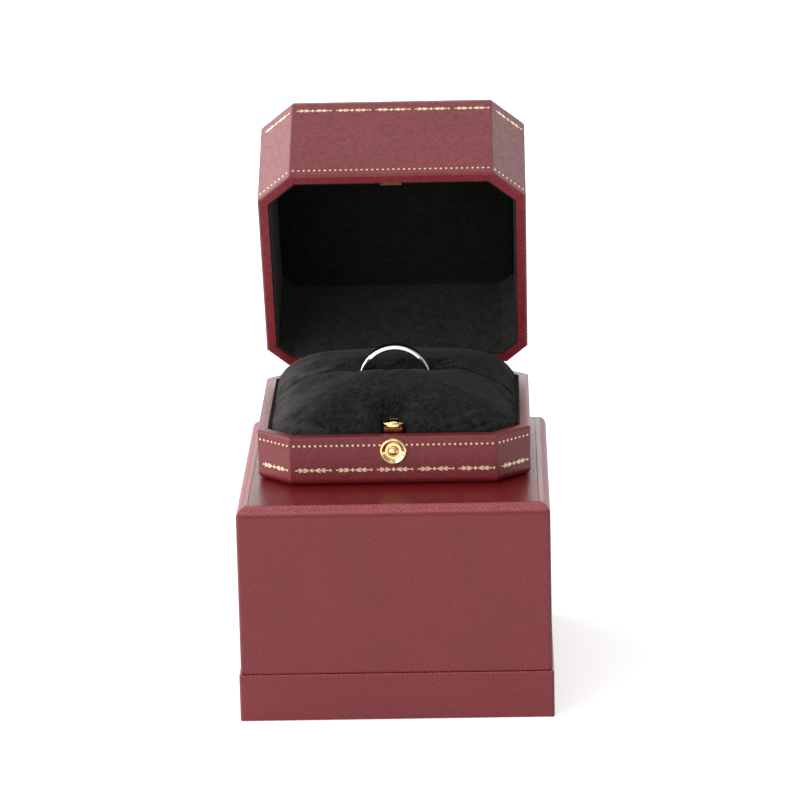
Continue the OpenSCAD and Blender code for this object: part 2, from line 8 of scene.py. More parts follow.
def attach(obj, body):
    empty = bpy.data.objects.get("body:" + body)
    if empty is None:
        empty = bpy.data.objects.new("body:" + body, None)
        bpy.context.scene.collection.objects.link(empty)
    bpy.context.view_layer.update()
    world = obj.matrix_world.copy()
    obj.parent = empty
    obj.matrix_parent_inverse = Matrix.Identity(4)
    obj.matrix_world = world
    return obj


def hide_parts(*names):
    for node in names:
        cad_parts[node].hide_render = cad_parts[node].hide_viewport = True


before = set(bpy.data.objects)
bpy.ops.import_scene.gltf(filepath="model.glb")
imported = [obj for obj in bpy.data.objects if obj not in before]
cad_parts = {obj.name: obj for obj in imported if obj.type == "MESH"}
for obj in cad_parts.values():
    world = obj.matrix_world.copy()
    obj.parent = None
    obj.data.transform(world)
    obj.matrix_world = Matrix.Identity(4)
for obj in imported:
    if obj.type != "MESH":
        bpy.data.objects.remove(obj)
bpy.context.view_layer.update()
scene = bpy.context.scene
scene.view_settings.view_transform = "Standard"

# ---------- The camera ----------
# A long lens from about a metre away, a little above the box and turned a degree or two to its side.
# Its place comes from fitting the outlines of both boxes to the photograph.
lens_pitch, lens_roll, box_turn = math.radians(15.45), math.radians(1.35), math.radians(1.471)
ring_box_foot = Vector((0, 0.0086, 0.0525))
forward = Vector((0, math.cos(lens_pitch), -math.sin(lens_pitch)))
over = Vector((0, math.sin(lens_pitch), math.cos(lens_pitch)))
aside = Vector((1, 0, 0))
to_the_side, above, away = 0.00111, 0.01214, 1.02
stand = aside * to_the_side + over * above - forward * away
axes = [
    aside * math.cos(lens_roll) - over * math.sin(lens_roll),
    aside * math.sin(lens_roll) + over * math.cos(lens_roll),
    -forward,
]
turn = Matrix.Rotation(box_turn, 3, "Z")
lens = bpy.data.cameras.new("camera")
lens.sensor_width, lens.lens = 36, 188.185
lens.clip_start, lens.clip_end = 0.05, 20
camera = bpy.data.objects.new("camera", lens)
scene.collection.objects.link(camera)
camera.matrix_world = (
    Matrix.Translation(turn @ stand + ring_box_foot)
    @ Matrix([turn @ a for a in axes]).transposed().to_4x4()
)
scene.camera = camera


# ---------- Outer carton: base and neck ----------
# Greyboard tray covered in embossed leatherette paper, turned over its edges and glued. The neck is
# plain black card, glued inside the tray, and shows only when the lid is lifted.
def linear(colour):
    """A colour written as sRGB hex, as the linear red, green, blue and alpha that shaders take."""
    s = np.array([int(colour[i : i + 2], 16) for i in (1, 3, 5)]) / 255
    rgb = np.where(s <= 0.04045, s / 12.92, ((s + 0.055) / 1.055) ** 2.4)
    return (*rgb.tolist(), 1.0)


def add(tree, kind, inputs=None, **settings):
    """Adds a node. settings are its own properties, and inputs are its sockets' values or sources."""
    node = tree.nodes.new(kind)
    for name, value in settings.items():
        setattr(node, name, value)
    for key, value in (inputs or {}).items():
        if isinstance(value, bpy.types.NodeSocket):
            tree.links.new(value, node.inputs[key])
        else:
            node.inputs[key].default_value = value
    return node


def start_material(name):
    """An empty material of that name and its node tree."""
    material = bpy.data.materials.new(name)
    material.use_nodes = True
    material.node_tree.nodes.clear()
    return material, material.node_tree


def show(tree, shader):
    """Sends a shader to the tree's surface output."""
    add(tree, "ShaderNodeOutputMaterial", {"Surface": shader.outputs[0]})


def ramp(tree, value, *stops):
    """A colour ramp over (place, colour) stops, which returns its colour socket."""
    node = add(tree, "ShaderNodeValToRGB", {"Fac": value})
    while len(node.color_ramp.elements) < len(stops):
        node.color_ramp.elements.new(0.5)
    for element, (place, colour) in zip(node.color_ramp.elements, stops):
        element.position, element.color = place, linear(colour)
    return node.outputs["Color"]


def wall_grid(tree, tilt=0.0, pivot=(0, 0, 0)):
    """Coordinates that run along and up any wall of a box, and along X and Y on its flat top.

    Along a wall is P . (Z x N) and up it is z - N . P, with N the wall's level normal; where the
    normal points up or down they are x and y + z. tilt turns the pattern with an opened lid.
    Returns (vector of the two, slope between upright and level, |normal's Z|, object coordinates)."""
    where = add(tree, "ShaderNodeTexCoord")
    place = add(
        tree,
        "ShaderNodeVectorRotate",
        {"Vector": where.outputs["Object"], "Center": pivot, "Angle": tilt},
        rotation_type="X_AXIS",
    ).outputs[0]
    facing = add(
        tree,
        "ShaderNodeVectorRotate",
        {"Vector": where.outputs["Normal"], "Center": (0, 0, 0), "Angle": tilt},
        rotation_type="X_AXIS",
    ).outputs[0]
    n = add(tree, "ShaderNodeSeparateXYZ", {0: facing}).outputs
    level = add(
        tree,
        "ShaderNodeVectorMath",
        {0: add(tree, "ShaderNodeVectorMath", {0: facing, 1: (1, 1, 0)}, operation="MULTIPLY").outputs[0]},
        operation="NORMALIZE",
    ).outputs[0]
    side = add(
        tree, "ShaderNodeVectorMath", {0: (0, 0, 1), 1: level}, operation="CROSS_PRODUCT"
    ).outputs[0]
    along = add(tree, "ShaderNodeVectorMath", {0: place, 1: side}, operation="DOT_PRODUCT").outputs["Value"]
    out = add(tree, "ShaderNodeVectorMath", {0: place, 1: level}, operation="DOT_PRODUCT").outputs["Value"]
    p = add(tree, "ShaderNodeSeparateXYZ", {0: place}).outputs
    up = add(tree, "ShaderNodeMath", {0: p[2], 1: out}, operation="SUBTRACT").outputs[0]
    wall = add(tree, "ShaderNodeCombineXYZ", {0: along, 1: up}).outputs[0]
    top = add(
        tree,
        "ShaderNodeCombineXYZ",
        {0: p[0], 1: add(tree, "ShaderNodeMath", {0: p[1], 1: p[2]}).outputs[0]},
    ).outputs[0]
    steep = add(tree, "ShaderNodeMath", {0: n[2]}, operation="ABSOLUTE").outputs[0]
    # the pattern changes from wall to top well up the rounded edges
    top_from = 0.8
    is_top = add(tree, "ShaderNodeMath", {0: steep, 1: top_from}, operation="GREATER_THAN").outputs[0]
    # a vector mix has its sockets after those of the float one
    grid = add(tree, "ShaderNodeMix", {0: is_top, 4: wall, 5: top}, data_type="VECTOR")
    square = add(tree, "ShaderNodeMath", {0: steep, 1: steep}, operation="MULTIPLY").outputs[0]
    rest = add(tree, "ShaderNodeMath", {0: 1.0, 1: square}, operation="SUBTRACT").outputs[0]
    slope = add(tree, "ShaderNodeMath", {0: square, 1: rest}, operation="MULTIPLY").outputs[0]
    return grid.outputs[1], slope, steep, place


def leatherette(
    name, body, ridge, valley, edge, hatch_mm, pebble, tilt=0.0, pivot=(0, 0, 0), painted_edge_light=()
):
    """Embossed leatherette: two sets of fine diagonal ridges that come and go, over a pebbled film.

    Its height is hatch one where a slow noise is high and hatch two where it is low, plus pebbles.
    The last argument gives the colours that paint light on a rounded top edge and the flat top: a painted
    shade line under the edge, the edge's stronger red, painted highlights on the ridges that stand out on it,
    and painted shade on the flat top."""
    material, tree = start_material(name)
    grid, slope, steep, place = wall_grid(tree, tilt, pivot)
    # the ridges wander by up to nine tenths of their spacing, in swings of about a millimetre
    drift = add(tree, "ShaderNodeTexNoise", {"Vector": grid, "Scale": 900, "Detail": 2.0}).outputs["Color"]
    wander = add(
        tree, "ShaderNodeVectorMath", {0: drift, "Scale": hatch_mm * 0.0009}, operation="SCALE"
    ).outputs[0]
    bent = add(tree, "ShaderNodeVectorMath", {0: grid, 1: wander}).outputs[0]
    # a wave texture runs through 20 x its scale radians in a metre
    hatches = []
    for angle in (38, -40):
        turned = add(
            tree,
            "ShaderNodeVectorRotate",
            {"Vector": bent, "Angle": math.radians(angle)},
            rotation_type="Z_AXIS",
        ).outputs[0]
        band = add(
            tree,
            "ShaderNodeTexWave",
            {
                "Vector": turned,
                "Scale": 2 * math.pi / (20 * hatch_mm / 1000),
                "Distortion": 0.6,
                "Detail": 1.0,
                "Detail Scale": 1.4,
            },
            bands_direction="Y",
        ).outputs["Fac"]
        hatches.append(band)
    # each set of ridges rules in patches a few millimetres wide
    patches = add(tree, "ShaderNodeTexNoise", {"Vector": grid, "Scale": 260, "Detail": 3.0}).outputs["Fac"]
    shares = add(
        tree, "ShaderNodeMapRange", {"Value": patches, "From Min": 0.36, "From Max": 0.64}
    ).outputs[0]
    hatched = add(tree, "ShaderNodeMix", {0: shares, 2: hatches[0], 3: hatches[1]}).outputs[0]
    # the pebbles lie about 1.2 times as far apart as the ridges
    cells = add(
        tree, "ShaderNodeTexVoronoi", {"Vector": bent, "Scale": 1500 / hatch_mm * 0.55}, feature="SMOOTH_F1"
    ).outputs["Distance"]
    pebbled = add(
        tree,
        "ShaderNodeMapRange",
        {"Value": cells, "From Min": 0.0, "From Max": 0.7, "To Min": 1.0, "To Max": 0.0},
    ).outputs[0]
    height = add(tree, "ShaderNodeMix", {0: pebble, 2: hatched, 3: pebbled}).outputs[0]
    # colour by the relief's height: lighter on the ridges and darker in the valleys, a painted highlight and
    # painted shade of the relief
    grain_painted_light = ramp(tree, height, (0.15, valley), (0.55, body), (0.95, ridge))
    cloud = add(tree, "ShaderNodeTexNoise", {"Vector": place, "Scale": 70, "Detail": 4.0}).outputs["Fac"]
    shade = add(
        tree,
        "ShaderNodeMapRange",
        {"Value": cloud, "From Min": 0.3, "From Max": 0.7, "To Min": 0.93, "To Max": 1.06},
    ).outputs[0]
    toned = add(tree, "ShaderNodeVectorMath", {0: grain_painted_light, "Scale": shade}, operation="SCALE").outputs[0]
    # on rounded edges the colour goes towards edge: painted light, a lighter red on the carton's edges and a
    # darker red on the ring box's
    rounded_edge_painted_light = add(
        tree,
        "ShaderNodeMapRange",
        {"Value": slope, "From Min": 0.01, "From Max": 0.2, "To Min": 0.0, "To Max": 0.8},
    ).outputs[0]
    colour = add(tree, "ShaderNodeMix", {0: rounded_edge_painted_light, 6: toned, 7: linear(edge)}, data_type="RGBA").outputs[2]
    if painted_edge_light:
        # painted light on a rounded top edge: a painted shade line low on the rounding, painted highlights on
        # its ridges over a stronger red, and painted shade on the flat top
        line, band, ridge_highlight_painted, top = painted_edge_light
        ridge_highlights_painted = ramp(tree, hatched, (0.42, band), (0.8, ridge_highlight_painted))
        # each has its share of the way round the edge, from 0 on the wall to 1 on the level top
        for levels, source in (
            (((0.02, "#000000"), (0.1, "#FFFFFF"), (0.26, "#FFFFFF"), (0.4, "#000000")), linear(line)),
            (((0.35, "#000000"), (0.55, "#FFFFFF"), (0.97, "#FFFFFF"), (0.998, "#000000")), ridge_highlights_painted),
            (((0.98, "#000000"), (0.9995, "#FFFFFF")), linear(top)),
        ):
            share = ramp(tree, steep, *levels)
            colour = add(tree, "ShaderNodeMix", {0: share, 6: colour, 7: source}, data_type="RGBA").outputs[2]
    rough = add(tree, "ShaderNodeMapRange", {"Value": height, "To Min": 0.42, "To Max": 0.3}).outputs[0]
    relief = add(tree, "ShaderNodeBump", {"Height": height, "Strength": 0.5, "Distance": 0.00008}).outputs[0]
    shader = add(
        tree,
        "ShaderNodeBsdfPrincipled",
        {"Base Color": colour, "Roughness": rough, "IOR": 1.54, "Normal": relief},
    )
    show(tree, shader)
    return material


def dress(node, material):
    """Gives a CAD node's object this material in place of its plain one."""
    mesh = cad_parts[node].data
    mesh.materials.clear()
    mesh.materials.append(material)


# Film-coated paper, with a low gloss that pales the red where it mirrors the room. Its ridges are
# drawn a little further apart than real ones, so that they show.
# Its last colours paint light on a rounded top edge and the flat top: a painted shade line, a stronger red
# with painted highlights on its ridges, and painted shade on the top. The lighter red of its other rounded
# edges is painted light too.
carton_paper = leatherette(
    "burgundy_leatherette_paper", "#7C2027", "#8A2C33", "#6B171E", "#96252F", 0.62, 0.25,
    painted_edge_light=("#720C16", "#76101B", "#C46C75", "#700D17"),
)
dress("carton_base", carton_paper)


def card(name, dark, light, starts, fibres, detail, roughness, dent_mm=0.0):
    """Pressed paper fibre, matt and faintly flecked: dark where a noise is under starts, light over 0.7.

    fibres is the noise's scale in features a metre, and dent_mm how deep the same noise dents the face."""
    material, tree = start_material(name)
    where = add(tree, "ShaderNodeTexCoord").outputs["Object"]
    fibre = add(
        tree, "ShaderNodeTexNoise", {"Vector": where, "Scale": fibres, "Detail": detail}
    ).outputs["Fac"]
    finish = {"Base Color": ramp(tree, fibre, (starts, dark), (0.7, light)), "Roughness": roughness}
    if dent_mm:
        dent = {"Height": fibre, "Strength": 0.3, "Distance": dent_mm / 1000}
        finish["Normal"] = add(tree, "ShaderNodeBump", dent).outputs[0]
    show(tree, add(tree, "ShaderNodeBsdfPrincipled", finish))
    return material


# Card dyed through and unglazed: dark and dull beside the shiny paper.
dress("carton_neck", card("black_dyed_card", "#191718", "#242122", 0.35, 2200, 4.0, 0.78, 0.04))

# ---------- Outer carton: lid ----------
# Lift-off lid of the same board and paper. A thin foam under the paper rounds its top edge. The paper's
# colours paint light on it: painted highlights on the ridges over a stronger red, a painted shade line under
# the rounding and painted shade on the flat top.
def rings_mesh(name, rings):
    """A closed surface through rings of equally many points, (rings, points, 3) in mm.

    Each end is closed by a ladder of quads: point k and its next are joined to points n - 1 - k and
    n - 2 - k across the ring."""
    m, n = rings.shape[:2]
    i, k = np.meshgrid(np.arange(m - 1), np.arange(n), indexing="ij")
    a, b = i * n + k, i * n + (k + 1) % n
    walls = np.stack([a, b, b + n, a + n], -1).reshape(-1, 4)
    k = np.arange(n // 2 - 1)
    ladder = np.c_[k, k + 1, n - 2 - k, n - 1 - k]
    faces = np.vstack([walls, ladder[:, ::-1], ladder + (m - 1) * n]).tolist()
    mesh = bpy.data.meshes.new(name)
    mesh.from_pydata(rings.reshape(-1, 3) * 0.001, [], faces)
    mesh.shade_smooth()
    piece = bpy.data.objects.new(name, mesh)
    scene.collection.objects.link(piece)
    return piece


lid_half_wide, lid_half_deep, lid_corner, lid_sharpest = 36.75, 38.75, 0.8, 0.4
lid_foot, lid_top, edge_round, lid_wall, lid_board, lid_rim_round = 11.5, 52.5, 2.6, 2.0, 3.0, 0.3
# extra points this far from a rounding keep the shading of the flats beside it flat
support = 0.15


def lid_ring(inwards, z):
    """A level ring of the lid, moved inwards: at each corner, its centre + r (cos, sin), in mm."""
    x, y, r = lid_half_wide - inwards, lid_half_deep - inwards, max(lid_corner - inwards, lid_sharpest)
    a = np.linspace(0, np.pi / 2, 7)
    arc = np.c_[x - r + r * np.cos(a), y - r + r * np.sin(a)]
    arc = np.vstack([[x, y - r - support], arc, [x - r - support, y]])
    flat = np.vstack([arc, arc[::-1] * (-1, 1), -arc, arc[::-1] * (1, -1)])
    return np.c_[flat, np.full(len(flat), z)]


# (inwards, height) from the ceiling down inside, round the rim, up the wall and over the full rounding
ceiling = lid_top - lid_board
profile = [
    (lid_wall + 0.4, ceiling),
    (lid_wall, ceiling),
    (lid_wall, ceiling - 0.1),
    (lid_wall, lid_foot + 0.35),
    (lid_wall - 0.06, lid_foot + 0.1),
    (lid_wall - lid_rim_round, lid_foot),
    (lid_rim_round, lid_foot),
    (0.06, lid_foot + 0.1),
    (0, lid_foot + 0.35),
    (0, lid_foot + 0.5),
    (0, lid_top - edge_round - support),
]
for a in np.linspace(0, np.pi / 2, 13):
    profile.append((edge_round * (1 - math.cos(a)), lid_top - edge_round * (1 - math.sin(a))))
profile.append((edge_round + 0.2, lid_top))
wrapped_lid = rings_mesh("carton_lid_wrapped", np.stack([lid_ring(t, z) for t, z in profile]))
wrapped_lid.data.materials.append(carton_paper)
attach(wrapped_lid, "carton_lid")
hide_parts("carton_lid")

# ---------- Ring box: base ----------
# Eight-sided wooden frame wrapped in burgundy leatherette, turned over the rim and glued inside. Its
# bottom board is pushed in from below, and a suede-covered tray lines it.

# Thicker and softer than the carton's paper, with a coarser, rounder grain.
box_skin = leatherette(
    "burgundy_leatherette", "#7C2028", "#8A2D35", "#6A171F", "#701A22", 0.75, 0.45
)
dress("base_shell", box_skin)

# Board under plain dark paper: duller and browner than the embossed skin round it.
dress("base_panel", card("covered_bottom_board", "#371A1D", "#452225", 0.3, 1500, 5.0, 0.7, 0.05))


def suede(name, dark, light, patch, nap_mm, lift, brushed_side=None):
    """Flocked suede: short nap that scatters light, with brushed patches where it lies over.

    Its colour goes from dark to light with a fine and a middle noise, and to patch where a slow one is
    high. brushed_side gives two places along X, in metres, between which the patches take over."""
    material, tree = start_material(name)
    where = add(tree, "ShaderNodeTexCoord").outputs["Object"]
    # nap, tufts of about 1.6 mm, and brushed patches of about 9 mm
    nap = add(
        tree, "ShaderNodeTexNoise", {"Vector": where, "Scale": 1000 / nap_mm, "Detail": 3.0, "Roughness": 0.6}
    ).outputs["Fac"]
    tufts = add(
        tree, "ShaderNodeTexNoise", {"Vector": where, "Scale": 620, "Detail": 3.0, "Distortion": 0.5}
    ).outputs["Fac"]
    mottle = add(tree, "ShaderNodeMix", {0: 0.45, 2: nap, 3: tufts}).outputs[0]
    fine = ramp(tree, mottle, (0.4, dark), (0.6, light))
    brushed = add(
        tree, "ShaderNodeTexNoise", {"Vector": where, "Scale": 110, "Detail": 4.0, "Distortion": 1.2}
    ).outputs["Fac"]
    if brushed_side:
        x = add(tree, "ShaderNodeSeparateXYZ", {0: where}).outputs[0]
        start, end = brushed_side
        side = add(
            tree,
            "ShaderNodeMapRange",
            {"Value": x, "From Min": start, "From Max": end, "To Min": -0.1, "To Max": 0.22},
        ).outputs[0]
        brushed = add(tree, "ShaderNodeMath", {0: brushed, 1: side}).outputs[0]
    share = add(
        tree,
        "ShaderNodeMapRange",
        {"Value": brushed, "From Min": 0.48, "From Max": 0.75, "To Min": 0.0, "To Max": lift},
    ).outputs[0]
    colour = add(tree, "ShaderNodeMix", {0: share, 6: fine, 7: linear(patch)}, data_type="RGBA")
    dent = add(tree, "ShaderNodeBump", {"Height": mottle, "Strength": 0.8, "Distance": 0.0002}).outputs[0]
    shader = add(
        tree,
        "ShaderNodeBsdfPrincipled",
        {
            "Base Color": colour.outputs[2],
            "Roughness": 0.95,
            "Specular IOR Level": 0.1,
            "Normal": dent,
            "Sheen Weight": 0.06,
            "Sheen Roughness": 0.5,
        },
    )
    show(tree, shader)
    return material


# Thin suede, tightly stretched and evenly brushed: a flat black.
lining_suede = suede("black_suede_lining", "#22201F", "#343230", "#3C3A38", 0.45, 0.4)
dress("base_lining", lining_suede)

# Recycled board: warm grey and quite flat.
dress("cushion_card", card("grey_card", "#453C34", "#574C42", 0.3, 1800, 4.0, 0.85))

# The base's gilt tooling: a beaded line under the rim and a leaf border above the foot, pressed in
# gold foil through a warm die. The foil lies a few hundredths of a millimetre proud of the skin.
outline = np.array([
    (-24.5, -30), (24.5, -30), (32.5, -22.5), (32.5, 24.8),
    (27.3, 30), (-27.3, 30), (-32.5, 24.8), (-32.5, -22.5),
])


def foil(points, rise=0.045, sunk=0.03):
    """A closed low pad over a 2-D outline: a ring in the skin, a smaller raised ring, and both caps."""
    flat = np.array(points, float)
    middle, n = flat.mean(0), len(flat)
    top = middle + (flat - middle) * 0.84
    shape = np.vstack([np.c_[flat, np.full(n, -sunk)], np.c_[top, np.full(n, rise)]])
    k = np.arange(n)
    sides = np.c_[k, (k + 1) % n, (k + 1) % n + n, k + n].tolist()
    return shape, [*sides, list(range(n, 2 * n)), list(range(n - 1, -1, -1))]


def leaf(x, y, length, width, angle):
    """An almond leaf: length cos(t), width sin(t) thinned towards both tips, turned by angle."""
    t = np.linspace(0, 2 * np.pi, 12, endpoint=False)
    shape = np.c_[length / 2 * np.cos(t), width / 2 * np.sin(t) * np.abs(np.sin(t)) ** 0.5]
    a = math.radians(angle)
    return shape @ np.array([[math.cos(a), math.sin(a)], [-math.sin(a), math.cos(a)]]) + (x, y)


def disc(x, y, across, n=10):
    """A round dot: n points of a circle."""
    t = np.arange(n) * 2 * np.pi / n
    return np.c_[x + across / 2 * np.cos(t), y + across / 2 * np.sin(t)]


def stamp(name, shapes, pitch, z, keep_clear=None):
    """Repeats flat shapes along all eight walls, in mm, as one mesh in the box's own frame.

    Each wall holds the number of repeats that brings them nearest to pitch apart. Vertex = wall middle
    + x along + y up + z out. On the front wall, none stands closer than keep_clear to its middle."""
    points, faces, count, margin = [], [], 0, 0.6
    for i, a in enumerate(outline):
        b = outline[(i + 1) % 8]
        long = np.linalg.norm(b - a)
        way = (b - a) / long
        out = np.array([way[1], -way[0]])
        repeats = max(1, int(round((long - margin) / pitch)))
        step = (long - margin) / repeats
        for shift in (np.arange(repeats) - (repeats - 1) / 2) * step:
            centre = (a + b) / 2 + way * shift
            if keep_clear and i == 0 and abs(shift) < keep_clear:
                continue
            for shape, quads in shapes:
                x, y, h = shape.T
                points.append(np.c_[
                    centre[0] + way[0] * x + out[0] * h, centre[1] + way[1] * x + out[1] * h, z + y
                ])
                faces += [[v + count for v in f] for f in quads]
                count += len(shape)
    mesh = bpy.data.meshes.new(name)
    mesh.from_pydata(np.vstack(points) * 0.001, [], faces)
    piece = bpy.data.objects.new(name, mesh)
    scene.collection.objects.link(piece)
    return piece


def stand_on_carton(piece):
    """Moves a mesh from the ring box's frame to its place on the carton."""
    piece.data.transform(Matrix.Translation(ring_box_foot))
    return piece


bead_pitch, border_pitch, bead_rise = 1.26, 8.8, 0.06
beads = [foil(disc(0, 0, 0.6, 8), bead_rise)]
# a lozenge, and on either side of it a stem with two pairs of leaves, which ends at a bead
lozenge = foil([(-0.55, 0), (0, -0.55), (0.55, 0), (0, 0.55)])
border = [lozenge, foil(disc(border_pitch / 2, 0, 0.66), bead_rise)]
for s in (-1, 1):
    border.append(foil([(s * 0.5, -0.15), (s * 4.1, -0.15), (s * 4.1, 0.15), (s * 0.5, 0.15)][::s]))
    for x, long in ((1.5, 1.35), (2.75, 1.1)):
        border += [foil(leaf(s * x, y, long, 0.4, math.copysign(15, s * y))) for y in (0.3, -0.3)]

# Gold foil on the skin: pale and bright, and a little duller in specks where it is worn.
gold_foil, tree = start_material("pressed_gold_foil")
where = add(tree, "ShaderNodeTexCoord").outputs["Object"]
wear = add(tree, "ShaderNodeTexNoise", {"Vector": where, "Scale": 1400, "Detail": 3.0}).outputs["Fac"]
tone = ramp(tree, wear, (0.3, "#E0C694"), (0.6, "#F7E8C4"))
rough = add(tree, "ShaderNodeMapRange", {"Value": wear, "To Min": 0.28, "To Max": 0.5}).outputs[0]
show(tree, add(tree, "ShaderNodeBsdfPrincipled", {"Base Color": tone, "Metallic": 0.6, "Roughness": rough}))

for name, shapes, pitch, z, clear in (
    ("base_beaded_line", beads, bead_pitch, 9.9, 3.1),
    ("base_leaf_border", border, border_pitch, 3.9, None),
):
    piece = stand_on_carton(stamp(name, shapes, pitch, z, keep_clear=clear))
    piece.data.materials.append(gold_foil)
    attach(piece, "ring_box")

# ---------- Hinge ----------
# Two pressed brass leaves with knuckles rolled round a brass pin, nailed inside the back walls, and a
# small steel coil round the pin that throws the lid open.
def metal(name, colour, dull, roughness, brush_mm):
    """Plain metal: a fine noise shifts its colour from dull to bright and its roughness a little."""
    material, tree = start_material(name)
    where = add(tree, "ShaderNodeTexCoord").outputs["Object"]
    marks = add(
        tree, "ShaderNodeTexNoise", {"Vector": where, "Scale": 1000 / brush_mm, "Detail": 3.0}
    ).outputs["Fac"]
    tone = ramp(tree, marks, (0.3, dull), (0.65, colour))
    rough = add(
        tree, "ShaderNodeMapRange", {"Value": marks, "To Min": roughness * 0.7, "To Max": roughness * 1.3}
    ).outputs[0]
    finish = {"Base Color": tone, "Metallic": 1.0, "Roughness": rough}
    show(tree, add(tree, "ShaderNodeBsdfPrincipled", finish))
    return material


# Pressed brass, gilded and polished to a soft sheen; bare drawn brass, duller; drawn steel wire, grey.
gilt_brass = metal("gilt_brass", "#DDB76A", "#C99F52", 0.25, 0.8)
nail_brass = metal("plain_brass", "#C39A4D", "#A98341", 0.35, 0.5)
spring_steel = metal("spring_steel", "#B4B4B0", "#9C9C98", 0.3, 0.4)
for node in ("base_hinge_leaf", "lid_hinge_leaf", "hinge_pin"):
    dress(node, gilt_brass)
for node in ("base_leaf_brads", "lid_leaf_brads"):
    dress(node, nail_brass)
dress("hinge_spring", spring_steel)

# ---------- Ring box: lid ----------
# Deep eight-sided lid, wrapped like the base, with a beaded line above its rim and the leaf border
# under its top edge. Its patterns turn with it, from the shut place in which it was tooled.
lid_open = math.radians(64.5)
hinge_axis = Vector((0, 0.0399, 0.06465))
# The same skin in the lid's own frame, a little more stretched and pebbled, its colours painted lighter than
# the base's: painted light on the lid.
lid_skin = leatherette(
    "burgundy_leatherette_lid", "#84202A", "#97303C", "#6E1920", "#741C24", 0.85, 0.65, lid_open, hinge_axis
)
dress("lid_shell", lid_skin)


def open_up(piece):
    """Turns a mesh that was made on the shut lid up to where the lid stands."""
    swing = Matrix.Translation(hinge_axis) @ Matrix.Rotation(-lid_open, 4, "X")
    piece.data.transform(swing @ Matrix.Translation(-hinge_axis))
    return piece


for name, shapes, pitch, z in (
    ("lid_beaded_line", beads, bead_pitch, 14.4),
    ("lid_leaf_border", border, border_pitch, 38.3),
):
    piece = open_up(stand_on_carton(stamp(name, shapes, pitch, z)))
    piece.data.materials.append(gold_foil)
    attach(piece, "lid")

# ---------- Lid lining and pad ----------
# Card liner covered in black suede, and a board with thin foam under the same suede in the lid's top,
# crowned a little and rolled over at its edge where it meets the liner.
dress("lid_lining", lining_suede)


def inset(points, t):
    """An outline with each side moved inwards by t: corner - t (a + b) / (1 + a . b), a and b its normals."""
    way = np.roll(points, -1, 0) - points
    way = way / np.linalg.norm(way, axis=1)[:, None]
    b = np.c_[way[:, 1], -way[:, 0]]
    a = np.roll(b, 1, 0)
    return points - t * (a + b) / (1 + (a * b).sum(1))[:, None]


def reach(corners, angle, power):
    """Distance to an outline in each direction, corners softened: (sum (u . n / d)^power)^(-1/power)."""
    way = np.roll(corners, -1, 0) - corners
    normal = np.c_[way[:, 1], -way[:, 0]] / np.linalg.norm(way, axis=1)[:, None]
    u = np.c_[np.cos(angle), np.sin(angle)]
    share = np.clip(u @ normal.T / (normal * corners).sum(1), 0, None)
    return (share**power).sum(1) ** (-1 / power)


pad_inset, pad_sharpness = 3.02, 90
angle = np.linspace(0, 2 * np.pi, 240, endpoint=False)
far = reach(inset(outline, pad_inset), angle, pad_sharpness)
pad_top, pad_face = 40.45, 39.1
# (share of the way out, height): up the lid at its edge, rolled over, then almost level to the middle
steps = [
    (1.0, pad_top), (1.0, pad_top - 0.3), (0.998, pad_top - 0.6), (0.99, pad_top - 0.9),
    (0.975, pad_top - 1.13), (0.95, pad_face + 0.06), (0.9, pad_face - 0.02), (0.8, pad_face - 0.06),
    (0.6, pad_face - 0.1), (0.35, pad_face - 0.12), (0.12, pad_face - 0.13),
]
rings = np.stack([
    np.c_[s * far * np.cos(angle), s * far * np.sin(angle), np.full(len(angle), z)] for s, z in steps
])[:, ::-1]
lid_pad = open_up(stand_on_carton(rings_mesh("lid_pad_suede", rings)))
# The same suede over thin foam, its colours painted darker than the liner's: painted shade for its place deep
# in the lid.
pad_suede = suede("black_suede_pad", "#100F0E", "#1D1C1A", "#242221", 0.45, 0.35)
lid_pad.data.materials.append(pad_suede)
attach(lid_pad, "lid")
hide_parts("lid_pad")

# ---------- Push button, catch and strike ----------
# Turned brass, gold plated and polished: a dished rosette, its sleeve, the ball-headed button and the flanged
# knob. The strike plate is folded brass, the lever brass painted a duller red as a painted reflection of the
# red skin round it, and the rest is steel.

# Turned smooth before plating, so it mirrors the room.
plated_gold = metal("polished_gold_plate", "#F5DFAC", "#E6CA8C", 0.1, 3.0)
for node in ("push_button", "button_bezel", "catch_knob"):
    dress(node, plated_gold)
dress("strike_plate", gilt_brass)
# Brass painted redder and duller than the knob on it: a painted reflection of the red skin round it.
dress("catch_lever", metal("brass_painted_red_reflection", "#8A5038", "#6E3A2A", 0.28, 0.8))
for node in ("catch_pivot", "catch_bracket", "catch_spring"):
    dress(node, spring_steel)
for node in ("bracket_brads", "strike_brads"):
    dress(node, nail_brass)

# ---------- Ring cushion ----------
# Crowned pillow: black suede drawn over soft foam and glued under a card. A slit across it holds the
# ring, with rolled lips, and the front is hollowed where the catch works.
slit_y, slit_half, slit_wide = 2.0, 9.1, 1.45
crown_top, shoulder, foot = 20.7, 11.3, 3.0
notch_half, notch_end, pocket_half = 2.85, -20.7, 4.75
cushion_edge, cushion_softness = inset(outline, 3.15), 30


